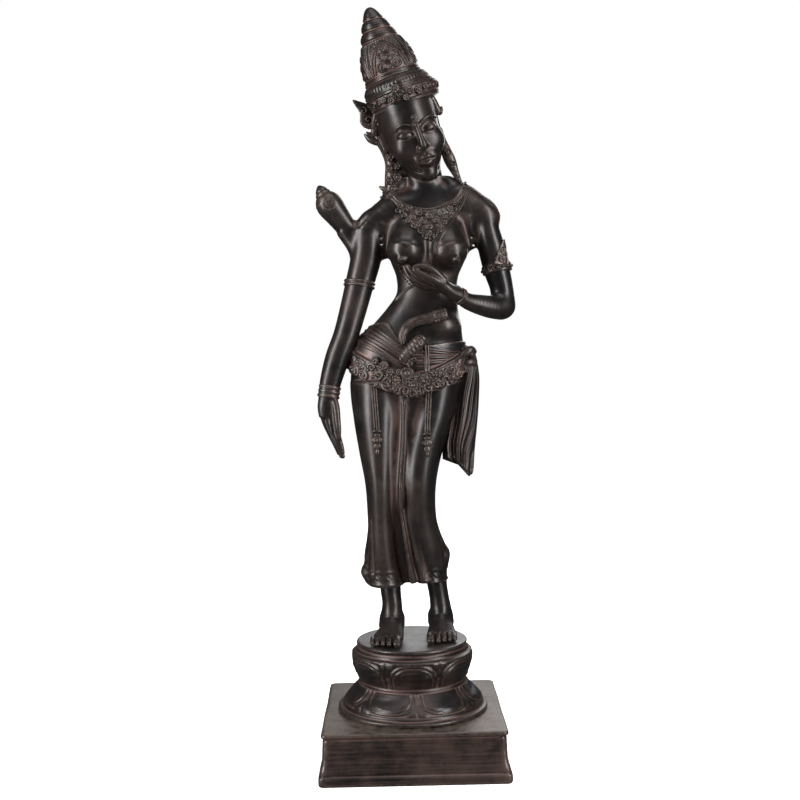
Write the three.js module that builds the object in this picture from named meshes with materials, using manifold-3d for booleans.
// A cast bronze goddess, standing on a double lotus pedestal and a square plinth.
// Millimetres, +Z up. X runs to the viewer's right, the front faces -Y, and the origin is the middle
// of the plinth's underside. "Left" and "right" are the viewer's.
import * as THREE from 'three';
import { mergeVertices } from 'three/addons/utils/BufferGeometryUtils.js';
import Module from 'manifold-3d';

const wasm = await Module();
wasm.setup();

// Driving dimensions.
const SEAM = 0.3; // left open between one casting and the next
const PLINTH = { half: 87.8, waist: 86.8, foot: 90.8, height: 48.3, corner: 5 };
const LOTUS = { height: 67.4, disc: 54.8, bulge: 60.2, waist: 53.4, foot: 74.5, petals: 12 };
const SOLE = PLINTH.height + SEAM + LOTUS.height + SEAM; // height of the top that the feet stand on
const HEAD = { at: [9, -5, 624], roll: -19.5, yaw: 17, pitch: 8 }; // middle of the head, and its turns in degrees
const CROWN = { base: 26, rim: 31, cone: 57, tip: 123 }; // heights up the head's own axis, and the tiara's radius
const RELIEF = 3; // how proud the cast ornament stands

const BRONZE = new THREE.MeshStandardMaterial({ color: 0x2a201d, metalness: 0.55, roughness: 0.42 });
const PLINTH_BRONZE = new THREE.MeshStandardMaterial({ color: 0x33241f, metalness: 0.5, roughness: 0.5 });

// Solids and joins.
function solidOf(geometry) {
  geometry.deleteAttribute('normal');
  geometry.deleteAttribute('uv');
  const closed = mergeVertices(geometry, 1e-3);
  const solid = new wasm.Manifold(new wasm.Mesh({
    numProp: 3,
    vertProperties: new Float32Array(closed.attributes.position.array),
    triVerts: new Uint32Array(closed.index.array),
  }));
  if (solid.volume() <= 0) throw new Error('a body is inside out');
  return solid;
}

function join(geometries) {
  return geometries.flat(Infinity).map(solidOf).reduce((whole, next) => whole.add(next));
}

function meshOf(name, solid, material) {
  const { numProp, numVert, vertProperties, triVerts } = solid.getMesh();
  const position = new Float32Array(numVert * 3);
  for (let i = 0; i < numVert; i++) {
    position.set(vertProperties.subarray(i * numProp, i * numProp + 3), i * 3);
  }
  const geometry = new THREE.BufferGeometry();
  geometry.setAttribute('position', new THREE.BufferAttribute(position, 3));
  geometry.setIndex(new THREE.BufferAttribute(triVerts, 1));
  geometry.computeVertexNormals();
  const mesh = new THREE.Mesh(geometry, material);
  mesh.name = name;
  return mesh;
}

// A smooth value part of the way along a list of stations (Catmull-Rom), t from 0 to 1.
function between(stations, t) {
  const place = t * (stations.length - 1);
  const i = Math.min(Math.floor(place), stations.length - 2);
  const f = place - i;
  const pick = (k) => stations[Math.max(0, Math.min(stations.length - 1, k))];
  const [a, b, c, d] = [pick(i - 1), pick(i), pick(i + 1), pick(i + 2)];
  return b.map((_, k) => 0.5 * (
    2 * b[k] + (c[k] - a[k]) * f
    + (2 * a[k] - 5 * b[k] + 4 * c[k] - d[k]) * f * f
    + (3 * b[k] - a[k] - 3 * c[k] + d[k]) * f * f * f));
}

// A closed wall: place(turn, rise) gives its point, turn 0 at the front and a quarter turn at the right,
// rise from 0 at the foot to 1. Each end closes on the middle of its own ring.
function wall(around, along, place) {
  const geometry = new THREE.CylinderGeometry(1, 1, 1, around, along);
  const position = geometry.attributes.position;
  const middles = [0, 1].map((rise) => {
    const middle = new THREE.Vector3();
    for (let k = 0; k < around; k++) middle.add(place((k / around) * 2 * Math.PI, rise));
    return middle.divideScalar(around);
  });
  for (let i = 0; i < position.count; i++) {
    const [x, y, z] = [position.getX(i), position.getY(i), position.getZ(i)];
    const rise = y + 0.5;
    const onWall = Math.hypot(x, z) > 0.5;
    const point = onWall ? place(Math.atan2(x, z), rise) : middles[Math.round(rise)];
    position.setXYZ(i, point.x, point.y, point.z);
  }
  return geometry;
}

// A body of oval sections along a smooth path. Each station is [x, y, z, half width, half depth].
// The sections stand square to the path, or lie level; front is the side that the depth axis points to.
function limb(stations, around, along, { level = false, front = [0, -1, 0] } = {}) {
  const frame = (t) => {
    const [x, y, z, wide, deep] = between(stations, t);
    const ahead = new THREE.Vector3(...between(stations, Math.min(1, t + 0.01)).slice(0, 3));
    const behind = new THREE.Vector3(...between(stations, Math.max(0, t - 0.01)).slice(0, 3));
    const along_ = level ? new THREE.Vector3(0, 0, Math.sign(ahead.z - behind.z)) : ahead.sub(behind).normalize();
    const depth = new THREE.Vector3(...front);
    depth.addScaledVector(along_, -depth.dot(along_)).normalize();
    const width = new THREE.Vector3().crossVectors(along_, depth);
    return { middle: new THREE.Vector3(x, y, z), width, depth, wide, deep };
  };
  const full = 2 / (1 + Math.cos(Math.PI / around)); // facets lie half outside the oval, half inside
  return wall(around, along, (turn, rise) => {
    const { middle, width, depth, wide, deep } = frame(rise);
    middle.addScaledVector(width, full * wide * Math.sin(turn));
    return middle.addScaledVector(depth, full * deep * Math.cos(turn));
  });
}

// An egg or bead: half sizes along X, Y and Z.
function bead([x, y, z], [rx, ry, rz], around = 6, along = 4) {
  const geometry = new THREE.SphereGeometry(1, around, along);
  return geometry.rotateX(Math.PI / 2).scale(rx, ry, rz).translate(x, y, z);
}

// A round body turned from a profile of [radius, height] pairs that starts and ends on the axis.
function turned(profile, around) {
  const points = profile.map(([radius, height]) => new THREE.Vector2(radius, height));
  return new THREE.LatheGeometry(points, around).rotateX(Math.PI / 2);
}

// A flat leaf: outline points in its own X and Z, cut to a thickness along Y.
function leaf(outline, thickness) {
  const shape = new THREE.Shape(outline.map(([x, z]) => new THREE.Vector2(x, z)));
  const geometry = new THREE.ExtrudeGeometry(shape, { depth: thickness, bevelEnabled: false });
  return geometry.translate(0, 0, -thickness / 2).rotateX(Math.PI / 2);
}

// The plinth: a rounded square carried up a profile of [half width, height], with a flared foot and a thin lip.
function plinth() {
  const { half, waist, foot, height, corner } = PLINTH;
  const profile = [
    [foot - 1.4, 0], [foot, 2.5], [foot, 8], [waist + 2.4, 15], [waist, 25], [waist - 0.6, height - 5],
    [half, height - 3.6], [half, height - 0.8], [half - 0.8, height],
  ];
  const perCorner = 3;
  const outline = (turn, size) => {
    const k = Math.round((turn / (2 * Math.PI)) * 4 * perCorner + 4 * perCorner) % (4 * perCorner);
    const quarter = Math.floor(k / perCorner);
    const arc = (quarter + (k % perCorner) / (perCorner - 1)) * Math.PI / 2;
    const middle = (quarter + 0.5) * Math.PI / 2;
    const reach = (size - corner) * Math.SQRT2;
    return [
      Math.sin(middle) * reach + Math.sin(arc) * corner,
      -Math.cos(middle) * reach - Math.cos(arc) * corner,
    ];
  };
  return wall(4 * perCorner, profile.length - 1, (turn, rise) => {
    const [size, z] = profile[Math.round(rise * (profile.length - 1))];
    const [x, y] = outline(turn, size);
    return new THREE.Vector3(x, y, z);
  });
}

// The double lotus: an upper row of upright petals, a waist ring and a flared lower row over a foot ring.
// A petal is a swelling of the wall, as wide as a share of the turn and rounded at its free end.
function lotusPedestal() {
  const { height, disc, bulge, waist, foot, petals } = LOTUS;
  const profile = [ // radius, height, and how far a petal swells there
    [foot, 0, 0], [foot, 3.4, 0], [foot - 4, 5.4, 0], [foot - 5, 8, 1],
    [foot - 7, 10.5, 3.4], [foot - 11.5, 15.5, 3.8], [foot - 17.5, 20.5, 2.6],
    [waist, 26.6, 0], [waist, 29.4, 0], [bulge - 3.8, 38, 2], [bulge - 1.4, 48, 2.2], [bulge, 54.4, 1.4],
    [disc + 1.4, 58.9, 0.4], [disc, 62.4, 0], [disc + 0.4, height - 0.8, 0], [disc - 0.8, height, 0],
  ];
  return wall(petals * 3, profile.length - 1, (turn, rise) => {
    const [radius, z, swell] = profile[Math.round(rise * (profile.length - 1))];
    const petal = Math.abs(Math.cos((turn + Math.PI / petals) * petals / 2)) ** 0.6;
    const reach = radius + swell * (petal - 0.35);
    return new THREE.Vector3(reach * Math.sin(turn), -reach * Math.cos(turn), z);
  });
}

// The hips as a level oval at height z: middle x, middle y, half width, half depth.
const HIPS = [
  [340, -1, 2, 52.5, 31], [360, 0, 3, 56, 33], [380, 1.5, 4, 57, 35], [400, 3, 4, 56, 35],
  [412, 3.6, 3.5, 53.5, 33], [424, 7.4, 3, 48.6, 29], [436, 14, 2, 40, 26],
];
function hipsAt(z) {
  const [low, high] = [HIPS[0][0], HIPS.at(-1)[0]];
  const clamped = Math.max(low, Math.min(high, z));
  let i = HIPS.findIndex(([height]) => height >= clamped);
  i = Math.max(1, i);
  const [a, b] = [HIPS[i - 1], HIPS[i]];
  const f = (clamped - a[0]) / (b[0] - a[0]);
  return a.slice(1).map((value, k) => value + (b[k + 1] - value) * f);
}

// A point on the hips, proud of the cloth.
function onHips(turn, z, proud) {
  const [x, y, wide, deep] = hipsAt(z);
  return new THREE.Vector3(
    x + (wide + proud) * Math.sin(turn), y - (deep + proud) * Math.cos(turn), z);
}

function trunk() {
  return [
    limb([ // hips, belly, waist and chest
      [0, 2, 346, 53.6, 31], [1, 3, 370, 56.8, 34], [2.5, 4, 392, 56.8, 35], [3.8, 3.5, 412, 54, 33],
      [11.2, 2, 430, 44.2, 27], [18, 1, 448, 35, 23.5], [22.2, 1, 462, 30, 22], [23.2, 2, 478, 31, 22.5],
      [24, 3, 492, 36.5, 24], [24.5, 4, 508, 43, 24], [22, 5, 530, 40, 22], [21, 5, 546, 33, 18],
    ], 14, 10, { level: true }),
    limb([ // shoulders, the right one higher
      [-40, 3, 522, 10.5, 10], [-28, 4, 533, 13.5, 14], [-8, 5, 546, 16, 17], [14, 6, 551, 17, 18],
      [38, 6, 556, 17.5, 18], [57, 5, 555, 17, 17], [77, 4, 542, 14.5, 15], [89, 3, 536, 9.5, 10],
    ], 8, 6),
    limb([[68, 4, 507, 3, 6], [69.5, 4, 515, 6, 10], [71, 4, 536, 8, 12]], 5, 2), // folds of the armpits
    limb([[-19, 4, 498, 2.5, 5], [-20.5, 4, 508, 5, 9], [-21, 4, 528, 7, 12]], 5, 2),
    limb([[22, 6, 545, 27, 17], [23.5, 5, 557, 22, 16.5], [23.5, 3, 570, 18.5, 16.5], [20, 0, 590, 18.5, 18]], 10, 2,
      { level: true }),
    bead([1, -18, 503], [19.5, 20, 19.5], 10, 5),
    bead([44.5, -18, 501], [18.5, 20, 19], 10, 5),
    bead([33, -9, 424], [21, 20, 19], 8, 4), // belly
    bead([-18, 22, 382], [29, 24, 31], 8, 4), // seat
    bead([24, 22, 380], [29, 24, 31], 8, 4),
  ];
}

// The skirt: one close column to each leg, a sunk pleat between them, and thin wings at the hem.
function skirt() {
  const columns = [
    limb([
      [-27, 1, 374, 28, 33], [-29, -1, 340, 24.5, 31.5], [-28.5, -4, 305, 20, 28], [-28, -7, 272, 15, 24],
      [-28, -5, 240, 13.5, 22], [-27, 0, 205, 14.5, 23], [-25.5, 5, 182, 17.4, 25], [-24.5, 5, 170.5, 18, 25.4],
    ], 10, 7, { level: true }),
    limb([
      [29, 2, 374, 27, 33], [24, 0, 340, 24, 31], [14, -4, 305, 21, 28], [9.5, -7, 272, 18, 24],
      [10, -3, 240, 17, 22], [16, 6, 205, 17.5, 23], [21.6, 13, 184, 15, 24], [22.5, 14, 172.5, 14.6, 24.4],
    ], 10, 7, { level: true }),
    limb([ // cloth drawn tight behind and between the legs
      [-1, 12, 350, 44, 24], [-6, 13, 300, 35, 20], [-8, 13, 250, 27, 17], [-5, 14, 205, 34, 15],
      [-4, 15, 172.5, 30, 14],
    ], 10, 4, { level: true }),
  ];
  const pleats = [ // a narrow pleat from the girdle to the knees, and the wide one below them
    limb([[-3, -29, 362, 3, 3], [-5, -28, 320, 3.2, 4], [-10, -24, 275, 2.5, 5], [-9, -18, 245, 2, 5]], 4, 3),
    limb([[-9, -22, 262, 2, 5], [-6, -15, 225, 3, 6], [-1, -9, 195, 4.5, 7], [3, -6, 172, 5.5, 7]], 5, 3),
  ];
  const wings = [
    limb([[-37.5, 5, 262, 3, 7], [-40, 8, 225, 3, 9], [-43.5, 10, 196, 3.5, 11], [-44, 10, 182, 6, 11],
      [-37, 9, 171, 5, 9]], 6, 5),
    limb([[21.5, 8, 258, 3, 7], [26.5, 12, 228, 3.4, 9], [32.5, 14, 208, 3.6, 9], [36.6, 15, 198, 4.4, 10],
      [34.5, 16, 183, 3.6, 9]], 6, 5),
  ];
  return [columns, pleats, wings];
}

// A bare shin and foot; inner is +1 where the big toe is on the right.
function foot({ shin, x, toes, heel, inner }) {
  const length = heel - toes;
  const at = (share) => toes + length * share;
  const ankle = at(0.72);
  const sole = limb([
    [x - inner, at(1) - 2, SOLE + 6, 7, 7], [x - inner, at(0.86), SOLE + 8, 9.5, 9.5],
    [x, at(0.62), SOLE + 10, 10.5, 11], [x, at(0.36), SOLE + 6, 13, 7.5], [x, at(0.17), SOLE + 3.6, 15, 4.8],
    [x, at(0.1), SOLE + 2.4, 14, 3.4],
  ], 8, 5, { front: [0, 0, 1] });
  const leg = limb([
    [shin, ankle - 2, 182, 11, 13], [shin, ankle - 2, 162, 10.2, 11.5], [(shin + x) / 2, ankle, 142, 10, 11],
    [x, ankle, 132, 11.8, 11.6], [x, ankle, SOLE + 3, 12.4, 12],
  ], 8, 4, { level: true });
  const spread = 26;
  const toesMade = [0, 1, 2, 3, 4].map((k) => {
    const size = [4.6, 3.4, 3.2, 3, 2.8][k];
    const across = inner * (spread / 2 - [0, 8, 14.2, 20, 25.2][k]);
    return bead([x + across, at(0.1) + [-1, -1.6, 0, 2, 4.5][k], SOLE + size * 0.8], [size, size * 1.9, size], 4, 3);
  });
  return [sole, leg, toesMade];
}

// The arm that hangs, with its hand pointing down and the fingers held together.
function hangingArm() {
  const arm = limb([
    [-31, 3, 535, 11, 12], [-35.5, 2, 520, 15, 14.5], [-37, 0, 500, 15.4, 14.5], [-44.7, -2, 471, 14.2, 14],
    [-51.8, -4, 445, 13.3, 13.3], [-59, -6, 421, 12.6, 12.6], [-68.1, -7, 398, 12.2, 12],
    [-75.2, -8, 375, 10.7, 9.6], [-77.5, -9, 361, 9.4, 7.6],
  ], 8, 6);
  const hand = limb([
    [-77.4, -9, 364, 9, 7.2], [-79, -10, 352, 10.4, 6.4], [-77.8, -11, 340, 10, 5.6],
    [-73.6, -11, 326, 6.8, 4.8], [-70.6, -11, 313, 4.8, 4], [-66, -10.5, 301, 2.4, 2.2],
  ], 8, 5);
  const thumb = limb([[-71, -13, 353, 2.6, 3.4], [-69.4, -17, 342, 2.8, 3.2], [-71.4, -19, 329, 1.8, 1.8]], 5, 2);
  return [arm, hand, thumb];
}

// The bent arm, with its hand turned up before the chest.
function bentArm() {
  const upper = limb([
    [80, 4, 545, 11, 13], [83, 3, 530, 11.6, 14], [86, 2, 514, 13, 14], [90.2, 1, 496, 13.8, 14],
    [93.2, 0, 481, 13, 13.5], [96.4, -1, 468, 11.8, 12.5], [99, -2, 455, 12, 12], [99.4, -4, 443, 10.6, 10.5],
  ], 8, 5);
  const fore = limb([
    [104.4, 0, 445.6, 9, 9], [96.4, -6, 444.8, 12.4, 12], [86, -13, 445.4, 12.2, 11.4], [74, -21, 447.6, 10.6, 10],
    [62, -29, 450.6, 8.6, 8.2], [53, -36, 455.4, 7.1, 7], [46, -39, 460, 6.4, 6.2],
  ], 8, 5, { front: [0, 0, 1] });
  const palm = limb([
    [48, -38, 459, 6.4, 6.2], [40, -41, 465, 8.4, 5.2], [30, -43, 473, 9.4, 4.6], [24, -44, 477, 8, 4],
  ], 8, 3, { front: [-0.5, 0, -0.8] });
  const fingers = [
    [[28, -44, 480, 3, 3], [20, -46, 487, 2.7, 2.7], [11, -48, 487, 2.2, 2.2], [6, -49, 485, 1.3, 1.3]],
    [[26, -47, 474, 3, 3], [15, -49, 478, 2.6, 2.6], [6, -50, 482, 2.2, 2.2], [0, -49, 494, 1.4, 1.4]],
    [[26, -43, 470, 2.8, 2.8], [14, -45, 473, 2.5, 2.5], [5, -45, 479, 2.1, 2.1], [0, -43, 489, 1.3, 1.3]],
    [[27, -39, 468, 2.6, 2.6], [16, -40, 469, 2.3, 2.3], [8, -40, 473, 1.9, 1.9], [3, -39, 480, 1.2, 1.2]],
    [[36, -48, 472, 3, 3], [26, -51, 480, 2.8, 2.8], [17, -52, 486, 2.2, 2.2], [11, -52, 489, 1.4, 1.4]],
  ].map((stations) => limb(stations, 4, 3, { front: [0, -1, 0] }));
  return [upper, fore, palm, fingers];
}

// Rings cast round an arm: a middle, the arm's own direction there, and the ring's half sizes.
function ring([x, y, z], direction, [wide, deep], height) {
  const [dx, dy, dz] = new THREE.Vector3(...direction).normalize().multiplyScalar(height / 2).toArray();
  const at = (share) => [x + dx * share, y + dy * share, z + dz * share, wide, deep];
  return limb([at(-1), at(1)], 8, 1);
}

function armRings() {
  const peak = leaf([[-8, 0], [0, 24], [8, 0]], 5).rotateZ(0.7).rotateY(-0.12).translate(98.5, -10, 484);
  return [
    ring([-44.7, -2, 471.5], [-8, -2, -27], [15.4, 15.3], 6),
    ring([-76.5, -8.6, 365.5], [-3, -1, -16], [11.4, 10], 12),
    ring([92.6, 0, 484], [4, -1, -21], [14.4, 15], 8),
    limb([[55.5, -34.2, 455, 8.6, 8.6], [47.5, -38.4, 459, 8.4, 8.4]], 8, 1, { front: [0, 0, 1] }),
    peak,
  ];
}

// The lotus bud that rises off the hanging arm's shoulder: a stalk that swells to a head with a ringed point.
function bud() {
  const head = limb([
    [-44, 3, 511, 9, 9], [-51, 3, 521, 10.4, 10], [-58.5, 2, 531.5, 11, 10.6], [-66.5, 1, 542.5, 12.6, 12],
    [-73, 0, 551.5, 14, 13], [-75.4, 0, 555.5, 11.6, 11], [-76.8, 0, 559, 7, 7], [-79.4, 0, 564.5, 6, 6],
    [-82.4, 0, 571.5, 1.4, 1.4],
  ], 8, 9);
  const web = limb([[-49, 2, 500, 3.6, 5], [-52, 2, 511, 5.6, 7], [-59.5, 2, 524, 6, 7]], 6, 2);
  return [head, web];
}

// Head-local pieces are built upright, facing the front, and then take the head's place and turns.
function placeHead(geometry) {
  const { at, roll, yaw, pitch } = HEAD;
  const [r, w, p] = [roll, yaw, pitch].map(THREE.MathUtils.degToRad);
  return geometry.rotateX(p).rotateZ(w).rotateY(r).translate(...at);
}

function head() {
  const skull = limb([
    [0, -18, -46, 8, 7], [0, -13.5, -40, 15, 15.5], [0, -8, -29, 21.5, 25], [0, -3, -14, 26.5, 32],
    [0, 0, 2, 28.5, 35], [0, 2, 18, 29, 36], [0, 3, 33, 26, 32], [0, 3, 43, 15, 20],
  ], 12, 6, { level: true });
  const nose = limb([[0, -33, 9, 2.6, 3], [0, -37, -3, 3, 4], [0, -40, -11, 4.4, 5.2], [0, -36, -17, 4.6, 3]], 6, 3);
  const sides = [-1, 1].map((side) => [
    bead([side * 12, -29.5, 1.5], [7.5, 4.5, 4], 6, 3), // a lowered eye
    limb([[side * 29, 6, 14, 3, 5], [side * 31, 5, 2, 3.4, 7], [side * 30, 3, -14, 2.6, 4], [side * 28, 2, -30, 2.4, 3]],
      6, 3), // a long ear
  ]);
  const mouth = [
    bead([0, -35.5, -26], [8, 3, 2], 6, 3),
    bead([0, -34.5, -29.6], [6.8, 3, 2.2], 6, 3),
  ];
  return [skull, nose, sides, mouth];
}

// The tall crown: a tiara with a ridged front and upright leaves, a domed drum, and a coiled cone.
function crown() {
  const { base, rim, cone, tip } = CROWN;
  const drum = turned([
    [0, base - 4], [rim - 2, base], [rim + 1, base + 10], [rim + 1.4, base + 17], [rim, base + 22],
    [27.4, base + 24], [27.2, cone + 5], [25.2, cone + 18], [21.6, cone + 28], [20.2, cone + 31], [20.4, cone + 34],
    [16.6, cone + 41], [16.8, cone + 44], [12, cone + 51], [11.6, cone + 54], [6.4, cone + 61.5],
    [2.8, tip - 0.8], [0, tip],
  ], 12).scale(1, 1.05, 1).translate(0.8, 2, 0);
  const prow = limb([[0, -30, base - 1, 9, 4], [0, -34, base + 10, 8, 5], [0, -32, base + 22, 5, 4],
    [0, -28, cone + 3, 2, 2]], 6, 3);
  const blade = [[24, 12], [38, 14], [42.5, 23], [39.5, 32], [42, 45], [35, 39], [24, 31]];
  const leaves = [-1, 1].map((side) => leaf(blade.map(([x, z]) => [x * side, z]), 5)
    .translate(side * 1.5, 7, 0));
  const tips = [-1, 1].map((side) => bead([side * 36, 3, 8], [7, 4, 5], 5, 3));
  return [drum, prow, leaves, tips];
}

// The ear ornaments that fall to the shoulders.
function earrings() {
  return [
    limb([[-26, 8, 632, 6, 7], [-22, 8, 616, 7, 8], [-13, 8, 604, 6.4, 8], [-8.5, 7, 592, 9, 8],
      [-7.5, 6, 576, 10.5, 8], [-9, 2, 556, 9, 7]], 8, 5),
    bead([-19, -2, 568], [5, 4, 3], 6, 4),
    bead([-32, 6, 622], [5, 4, 3.4], 6, 4),
    limb([[38, 0, 622, 3, 4], [41.5, -2, 610, 3.6, 4], [46.5, -3, 592, 5.8, 4.4], [53.5, -3, 578.5, 3.4, 3.4],
      [60, 0, 564, 2, 3]], 6, 4),
  ];
}

// The broad collar: a ring round the neck's foot, and a shield of rosettes to a point between the breasts.
function necklace() {
  const shield = limb([
    [23, -1, 563, 32, 15], [23, -4, 553, 31, 15], [24, -9.5, 541, 22, 12.5], [25.5, -13.5, 529, 13, 11],
    [27, -17, 517, 4, 8],
  ], 10, 4, { level: true });
  const rosettes = [[9, 543], [24, 535], [40, 544]].map(([x, z]) => (
    bead([x, -22 - (552 - z) * 0.1, z], [6, 4, 6], 6, 3)));
  return [
    shield, rosettes,
    limb([[-13, 4, 563, 3.4, 4], [-4, -11, 556, 3, 3.6], [8, -17.5, 551, 3, 3.4], [25, -20, 549, 3, 3.4],
      [41, -16.5, 552, 3, 3.4], [53, -7, 562, 3.4, 4], [54, 5, 571, 4, 4]], 5, 6),
  ];
}

// The flat double cord from the right shoulder, between the breasts, to the left of the waist.
function sacredCord() {
  return limb([[56, -10, 560, 3, 3], [42, -19, 538, 3.2, 3], [31, -23, 516, 3.4, 3], [26, -24, 494, 3.4, 3],
    [18, -22, 474, 3.2, 2.6], [4, -19, 458, 3, 2.6], [-10, -14, 446, 2.4, 2.6]], 4, 7);
}

// The girdle: cloth bands over the hips, and below them a deep jewelled band with rosettes and tassels.
function girdle() {
  const lower = (turn) => 359 + 29 * (1 - Math.cos(turn * 1.05 - 0.05)) ** 0.9;
  const upper = (turn) => 411 + 18 * Math.max(0, Math.sin(Math.min(2, -turn * 1.5))) + 2 * Math.sin(Math.abs(turn));
  const clampTurn = (turn) => Math.max(-1.5, Math.min(1.5, turn));
  const bands = [[0, RELIEF + 3], [0.42, RELIEF + 2], [0.48, RELIEF - 0.4], [1, RELIEF - 0.6]];
  const cloth = wall(14, bands.length - 1, (turn, rise) => {
    const [share, proud] = bands[Math.round(rise * (bands.length - 1))];
    const side = clampTurn(turn);
    const z = lower(side) + share * (upper(side) - lower(side));
    return onHips(turn, z, proud);
  });
  const rosettes = [];
  for (let k = -2; k <= 2; k++) {
    const turn = k * 0.45;
    const at = onHips(turn, lower(turn) + 12, RELIEF + 2);
    rosettes.push(bead(at.toArray(), [8, 4.6, 8], 6, 3));
  }
  const tassels = [[-33, -31, 372, -33], [22, -31, 364, 17]].map(([x, y, z, foot_]) => [
    limb([[x, y, z, 2.4, 3], [x, y - 1, z - 22, 2.4, 3], [(x + foot_) / 2, y - 1, z - 42, 2.2, 3]], 4, 2),
    limb([[(x + foot_) / 2, y - 1, z - 40, 2.4, 3], [foot_, y - 0.5, z - 50, 4.4, 4.4], [foot_, y + 1, z - 66, 1.4, 2]], 5, 2),
  ]);
  return [cloth, rosettes, tassels];
}

// The cloth tied at the belly: a tail that curls up over it, a knot, and an upright fold of the belt.
function bellyKnot() {
  return [
    limb([[-12, -25, 404, 4, 4], [-6, -28, 418, 4.4, 4], [3, -30, 428, 4.6, 4], [16, -31.5, 434, 4.8, 4],
      [30, -31, 437, 5.6, 4], [37, -30, 437, 6, 4]], 5, 5),
    limb([[-10, -35, 396, 6, 5], [0, -37, 403, 7, 6], [9, -37, 410, 7.5, 6], [15, -34, 416, 6, 5]], 6, 3),
    bead([-14, -31, 409], [7, 5, 7]),
    limb([[29, -30, 383, 3, 5], [29, -29, 396, 3, 5], [29, -27, 410, 3, 5]], 5, 2, { front: [0, -1, 0] }),
  ];
}

// The sash end at the right hip: a fan of soft pleats that hangs from a gathered knot and ends on a slant.
function sash() {
  const stations = [ // middle x, middle y, height, half width, half depth
    [48.5, -6, 286, 15, 6], [50.8, -6, 306, 16, 6.5], [54, -5, 328, 15.4, 7], [58.4, -3, 352, 13.4, 8],
    [62, -0.6, 378, 11, 9], [60, 1.4, 396, 10.4, 11],
  ];
  const folds = 4;
  const cloth = wall(18, 5, (turn, rise) => {
    const [x, y, z, wide, deep] = between(stations, rise);
    const across = Math.sin(turn);
    const ripple = 1.7 * Math.cos(across * Math.PI * folds) * Math.abs(Math.cos(turn)) * Math.min(1, (1 - rise) * 3);
    const slant = (10 - 21 * Math.max(0, (across + 0.3) / 1.3) ** 1.2) * Math.max(0, 0.4 - rise) / 0.4;
    return new THREE.Vector3(x + wide * across, y - (deep * Math.cos(turn) + ripple), z + slant);
  });
  return [cloth, bead([59.4, 0.4, 398.4], [10, 12, 9.6], 8, 4)];
}

function shoulderTip() {
  return limb([[76, 2, 552, 6, 6], [86, 2, 549, 4.6, 5], [92.5, 2, 544.5, 2, 3]], 6, 2);
}

function figure() {
  const body = join([
    trunk(), skirt(), hangingArm(), bentArm(), armRings(), bud(), earrings(), necklace(), sacredCord(),
    girdle(), bellyKnot(), sash(), shoulderTip(),
    foot({ shin: -19, x: -21, toes: -38, heel: 32, inner: 1 }),
    foot({ shin: 29.2, x: 32, toes: -25, heel: 42, inner: -1 }),
    [head(), crown()].flat(Infinity).map(placeHead),
  ]);
  const floor = solidOf(new THREE.BoxGeometry(200, 200, 60).translate(0, 0, SOLE - 30));
  return body.subtract(floor);
}

const statue = new THREE.Group();
statue.name = 'statue';
const pedestal = meshOf('lotus_pedestal', join([lotusPedestal()]), BRONZE);
pedestal.position.z = PLINTH.height + SEAM;
statue.add(meshOf('plinth', join([plinth()]), PLINTH_BRONZE), pedestal, meshOf('figure', figure(), BRONZE));

export default statue;
